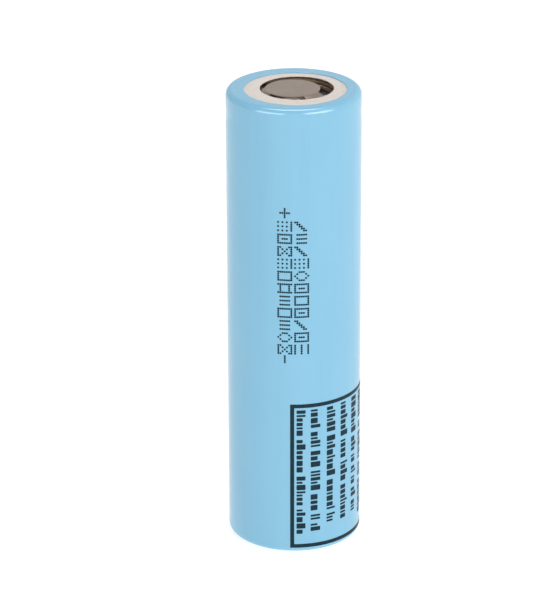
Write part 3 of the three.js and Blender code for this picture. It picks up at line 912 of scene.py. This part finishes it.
def make_cathode_tab():
    _, base, top = extent("cathode_tab")
    x = sheet_radius("cathode_sheet", CATHODE_TAB_TURN)
    upper = top - TAB_THICKNESS / 2
    lower = upper - 2 * TAB_BEND
    bend = CATHODE_TAB_CORNER
    low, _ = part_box("cathode_tab")
    fold_x = low.x / MM + TAB_BEND + TAB_THICKNESS / 2
    path = [(x, base + (lower - bend - base) * i / 8) for i in range(8)]
    path += tab_corner(x, lower, bend, 1)
    path += [(fold_x + (x - bend - fold_x) * (1 - i / 8), lower) for i in range(1, 8)]
    path += arc(fold_x, lower + TAB_BEND, TAB_BEND, -QUARTER, -3 * QUARTER, 12)
    path += [(fold_x + CATHODE_TAB_REACH * i / 6, upper) for i in range(1, 7)]
    curl = [smooth_step((lower - 0.2 - z) / 1.0) if px > x - bend else 0.0 for px, z in path]
    tab = tab_strip("cathode_tab_strip", path, x, curl)
    stand_in(tab, "cell", "tab_aluminium", TAB_METAL, "cathode_tab")


def make_anode_tab():
    _, base, top = extent("anode_tab")
    x = sheet_radius("anode_sheet", ANODE_TAB_TURN)
    level = base + TAB_THICKNESS / 2
    bend = ANODE_TAB_CORNER
    low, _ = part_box("anode_tab")
    end_x = low.x / MM
    path = [(x, top - (top - level - bend) * i / 4) for i in range(4)]
    path += tab_corner(x, level, bend, -1)
    path += [(x - bend - (x - bend - end_x) * i / 10, level) for i in range(1, 11)]
    curl = [smooth_step((z - level - 0.05) / 0.4) if px > x - bend else 0.0 for px, z in path]
    tab = tab_strip("anode_tab_strip", path, x, curl)
    stand_in(tab, "cell", "tab_nickel", NICKEL, "anode_tab")


def curved_tape(name, radius, middle, half_angle, base, top):
    """A patch of tape that follows a round surface."""
    steps = 32
    outside = radius + TAPE_THICKNESS
    corners = ((radius, base), (outside, base), (outside, top), (radius, top))
    mesh = bmesh.new()
    sections = []
    for i in range(steps + 1):
        angle = middle + half_angle * (2 * i / steps - 1)
        sections.append([mesh.verts.new(polar(r, angle, z) * MM) for r, z in corners])
    join_sections(mesh, sections)
    return add_object(name, mesh)


def make_tapes():
    _, base, top = extent("roll_end_tape")
    _, outer, _, last = ROLL_LAYERS["separator_outer"]
    outside = spiral_radius(last, outer) + GAP
    tape = curved_tape("roll_tape", outside, ROLL_TAPE_MIDDLE, ROLL_TAPE_HALF, base, top)
    stand_in(tape, "cell", "polyimide_tape", POLYIMIDE, "roll_end_tape")

    _, base, top = extent("cathode_tab_tape")
    tab_x = sheet_radius("cathode_sheet", CATHODE_TAB_TURN)
    face = tab_x + TAB_THICKNESS / 2 + TAB_TAPE_GAP
    patch = curved_tape("cathode_tape", face, 0, TAB_TAPE_HALF, base, top - TAB_TAPE_MARGIN)
    stand_in(patch, "cell", "polyimide_tape", POLYIMIDE, "cathode_tab_tape")

    low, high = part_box("anode_tab_tape")
    outline = rectangle(low.x / MM, high.x / MM, low.y / MM, high.y / MM)
    patch = plate("anode_tape", low.z / MM, high.z / MM, [outline], 0.01)
    stand_in(patch, "cell", "polyimide_tape", POLYIMIDE, "anode_tab_tape")


def make_insulator_disc(name, node, slot_x, slot_half, holes=()):
    """A disc beside the roll, with a hole over the core and a slot for a tab."""
    radius, base, top = extent(node)
    slot_side = TAB_WIDTH / 2 + TAB_SLOT_PLAY
    slot = rectangle(slot_x - slot_half, slot_x + slot_half, -slot_side, slot_side)
    outlines = [circle(radius), circle(CORE_HOLE, sides=64), slot, *holes]
    disc = plate(name, base, top, outlines)
    stand_in(disc, "cell", "glass_cloth", GLASS_CLOTH, node)


def make_insulator_discs():
    holes = []
    for angle in GAS_HOLE_ANGLES:
        middle = polar(GAS_HOLE_CIRCLE, angle)
        holes.append(circle(GAS_HOLE, middle.x, middle.y, 40))
    make_insulator_disc(
        "upper_roll_insulator",
        "upper_insulator_disc",
        sheet_radius("cathode_sheet", CATHODE_TAB_TURN),
        CATHODE_SLOT_HALF,
        holes,
    )
    make_insulator_disc(
        "lower_roll_insulator",
        "lower_insulator_disc",
        sheet_radius("anode_sheet", ANODE_TAB_TURN),
        ANODE_SLOT_HALF,
    )


# ------------------------------------------------------------ printing on the sleeve
SLEEVE_RADIUS = extent("sleeve")[0]


def on_sleeve(along, level, lift):
    """A point on the film. along is measured round it from the front, to the right."""
    rise = level - (PANEL_BASE + PANEL_TOP) / 2
    tilted = along + rise * math.tan(PRINT_TILT) * PRINT_TILT_SHARE
    angle = tilted / SLEEVE_RADIUS
    radius = SLEEVE_RADIUS + lift
    return Vector((radius * math.sin(angle), -radius * math.cos(angle), level)) * MM


def ink_patch(mesh, outline):
    """A thin layer of ink with one outline, given as points round and along the cell."""
    face = [mesh.verts.new(on_sleeve(a, z, INK_LIFT)) for a, z in outline]
    foot = [mesh.verts.new(on_sleeve(a, z, -INK_LIFT)) for a, z in outline]
    mesh.faces.new(face)
    mesh.faces.new(list(reversed(foot)))
    for i in range(len(outline)):
        j = (i + 1) % len(outline)
        mesh.faces.new([face[i], foot[i], foot[j], face[j]])


def ink_strip(mesh, columns):
    """A layer of ink that follows the curve. Each column is a place round the cell and the
    lowest and highest level of the ink there."""
    sections = []
    for along, base, top in columns:
        corners = ((base, -INK_LIFT), (base, INK_LIFT), (top, INK_LIFT), (top, -INK_LIFT))
        sections.append([mesh.verts.new(on_sleeve(along, z, lift)) for z, lift in corners])
    join_sections(mesh, sections)


def ink_band(mesh, left, right, base, top):
    """A rectangle of ink."""
    steps = max(1, math.ceil((right - left) / INK_STEP))
    places = [left + (right - left) * i / steps for i in range(steps + 1)]
    ink_strip(mesh, [(place, base, top) for place in places])


def ink_block(mesh, left, right, base, top, corner):
    """A block of ink with rounded corners."""
    columns = []
    for i in range(4):
        angle = QUARTER * i / 3
        inset = corner * (1 - math.sin(angle))
        columns.append((left + corner * (1 - math.cos(angle)), base + inset, top - inset))
    steps = max(1, math.ceil((right - left - 2 * corner) / INK_STEP))
    for i in range(1, steps):
        along = left + corner + (right - left - 2 * corner) * i / steps
        columns.append((along, base, top))
    columns += [(left + right - along, low, high) for along, low, high in reversed(columns[:4])]
    ink_strip(mesh, columns)


# Each sign fills dots of a grid 5 wide (u) and 7 high (v). None of them is a letter or a digit.
SIGNS = (
    lambda u, v: u in (0, 4) or v in (0, 6),  # frame
    lambda u, v: abs(u - 2) == min(v, 6 - v, 2),  # long diamond
    lambda u, v: v in (0, 3, 6),  # three bars
    lambda u, v: u in (0, 2, 4) and v not in (0, 6),  # three posts
    lambda u, v: u in (0, 4) or v in (0, 6) or (u == 2 and v in (2, 3, 4)),  # frame and post
    lambda u, v: u == 2 or v == 6 - abs(u - 2),  # arrow
    lambda u, v: v in (0, 6) or v - 1 in (u, 4 - u),  # hourglass
    lambda u, v: v in (5 - u, 6 - u),  # stairs
    lambda u, v: u in (0, 4) or v in (1, 5),  # ladder
    lambda u, v: v == 0 or (v % 2 == 0 and u in (0, 2, 4)),  # grid
)


def plus_sign(u, v):
    return 1 <= v <= 5 and (u == 2 or v == 3)


def minus_sign(u, v):
    return v == 3 and u > 0


def print_sign(mesh, sign, along, level):
    """One cell of dots. It reads downwards, so u runs down and v runs from right to left."""
    for u in range(SIGN_WIDTH):
        for v in range(SIGN_HEIGHT):
            if sign(u, v):
                a = along + (SIGN_HEIGHT // 2 - v) * DOT_PITCH
                z = level - (u - SIGN_WIDTH // 2) * DOT_PITCH
                dot = arc(a, z, DOT_RADIUS, 0, TURN, DOT_SIDES)[:DOT_SIDES]
                ink_patch(mesh, dot)


def make_code():
    """Two rows of signs, and the polarity signs at the ends of the left row."""
    rolls = random.Random(5)
    mesh = bmesh.new()
    for along in CODE_ROWS:
        last = None
        for i in range(CODE_CELLS):
            sign = rolls.choice([s for s in SIGNS if s is not last])
            last = sign
            print_sign(mesh, sign, along, CODE_FIRST - i * CODE_ADVANCE)
    plus_level = CODE_FIRST + PLUS_ADVANCES * CODE_ADVANCE
    minus_level = CODE_FIRST - (CODE_CELLS - 1 + MINUS_ADVANCES) * CODE_ADVANCE
    print_sign(mesh, plus_sign, CODE_ROWS[0], plus_level)
    print_sign(mesh, minus_sign, CODE_ROWS[0], minus_level)
    code = add_object("printed_signs", mesh)
    stand_in(code, "cell", "shrink_film", INK)


def make_panel():
    """A framed panel of plain blocks set out like lines of words."""
    rolls = random.Random(8)
    mesh = bmesh.new()
    ink_band(mesh, PANEL_LEFT, PANEL_RIGHT, PANEL_BASE, PANEL_BASE + PANEL_LINE)
    ink_band(mesh, PANEL_LEFT, PANEL_RIGHT, PANEL_TOP - PANEL_LINE, PANEL_TOP)
    side_base = PANEL_BASE + PANEL_LINE
    side_top = PANEL_TOP - PANEL_LINE
    ink_band(mesh, PANEL_LEFT, PANEL_LEFT + PANEL_LINE, side_base, side_top)
    ink_band(mesh, PANEL_RIGHT - PANEL_LINE, PANEL_RIGHT, side_base, side_top)
    for line in range(PANEL_LINES):
        foot = PANEL_SECOND_LINE + (line - 1) * PANEL_LINE_PITCH if line else PANEL_FIRST_LINE
        height = BLOCK_HEIGHT if line else BLOCK_HEIGHT_FIRST
        level = side_top - PANEL_MARGIN
        end = side_base + rolls.uniform(0.7, 2.6)
        word_left = rolls.randint(3, 8)
        while level > end + LAST_BLOCK_ROOM:
            length = rolls.choice(BLOCK_LENGTHS)
            rise = BLOCK_RISE if rolls.random() < BLOCK_RISE_SHARE else 0.0
            head = foot + height + rise
            ink_block(mesh, foot, head, level - length, level, BLOCK_CORNER)
            level -= length + BLOCK_GAP
            word_left -= 1
            if word_left == 0:
                level -= WORD_GAP
                word_left = rolls.randint(2, 8)
    panel = add_object("printed_panel", mesh)
    stand_in(panel, "cell", "shrink_film", INK)


# ------------------------------------------------------------ studio
def make_floor():
    mesh = bmesh.new()
    bmesh.ops.create_circle(mesh, cap_ends=True, segments=96, radius=FLOOR_RADIUS * MM)
    bmesh.ops.translate(mesh, verts=mesh.verts, vec=(0, 0, -FLOOR_DROP * MM))
    floor = add_object("floor", mesh)
    floor.data.materials.append(floor_material())


def make_world():
    """A soft white room: darker overhead, and a little darker on the left."""
    world = bpy.data.worlds.new("studio")
    bpy.context.scene.world = world
    world.use_nodes = True
    tree = world.node_tree
    backdrop = tree.nodes["Background"]
    backdrop.inputs["Color"].default_value = (1, 1, 1, 1)
    place = tree.nodes.new("ShaderNodeTexCoord")
    split = tree.nodes.new("ShaderNodeSeparateXYZ")
    tree.links.new(place.outputs["Generated"], split.inputs["Vector"])
    both = tree.nodes.new("ShaderNodeMath")
    both.operation = "MULTIPLY"
    for i, (axis, start, end, low, high) in enumerate(ROOM_SHARES):
        share = map_range(tree, split.outputs[axis], low, high, start, end)
        tree.links.new(share, both.inputs[i])
    tree.links.new(both.outputs["Value"], backdrop.inputs["Strength"])


def make_lights(height):
    """Broad softboxes light the cell, and strips draw the lines of gloss on its edges. Metal
    doesn't mirror the overhead softbox, which would burn out the terminal from above."""
    top = Vector((0, 0, height))
    for name, direction, distance, width, depth, radiance, diffused, mirrored in LIGHTS:
        data = bpy.data.lights.new(name, "AREA")
        data.shape = "RECTANGLE"
        data.size = width * MM
        data.size_y = depth * MM
        data.energy = radiance * math.pi * data.size * data.size_y
        light = bpy.data.objects.new(name, data)
        bpy.context.scene.collection.objects.link(light)
        outward = Vector(direction).normalized()
        light.location = (top + outward * distance) * MM
        light.rotation_mode = "QUATERNION"
        light.rotation_quaternion = (-outward).to_track_quat("-Z", "Y")
        light.visible_camera = False
        light.visible_diffuse = diffused
        light.visible_glossy = mirrored


def make_camera(height):
    data = bpy.data.cameras.new("camera")
    data.lens = CAMERA_LENS
    data.sensor_width = CAMERA_SENSOR
    data.clip_start = 0.01
    data.clip_end = 50
    camera = bpy.data.objects.new("camera", data)
    bpy.context.scene.collection.objects.link(camera)
    middle = Vector((0, 0, height / 2))
    back = Vector((0, -math.cos(CAMERA_ELEVATION), math.sin(CAMERA_ELEVATION)))
    place = middle + back * CAMERA_DISTANCE
    look = middle + CAMERA_AIM - place
    camera.location = place * MM
    camera.rotation_mode = "QUATERNION"
    roll = Quaternion((0, 0, 1), CAMERA_ROLL)
    camera.rotation_quaternion = look.to_track_quat("-Z", "Y") @ roll
    bpy.context.scene.camera = camera


# ------------------------------------------------------------ the whole cell
make_sleeve()
make_paper_ring()
make_can()
make_gasket()
make_cap()
make_ptc_ring()
make_vent_disc()
make_cid_parts()
make_layer("separator_inner", SEPARATOR, "separator")
make_layer("anode_sheet", GRAPHITE, "anode_coating")
make_layer("separator_outer", SEPARATOR, "separator")
make_layer("cathode_sheet", OXIDE, "cathode_coating")
make_cathode_tab()
make_anode_tab()
make_tapes()
make_insulator_discs()
make_code()
make_panel()

cell_height = extent("sleeve")[2]
make_floor()
make_world()
make_lights(cell_height)
make_camera(cell_height)
bpy.context.scene.view_settings.view_transform = "Standard"
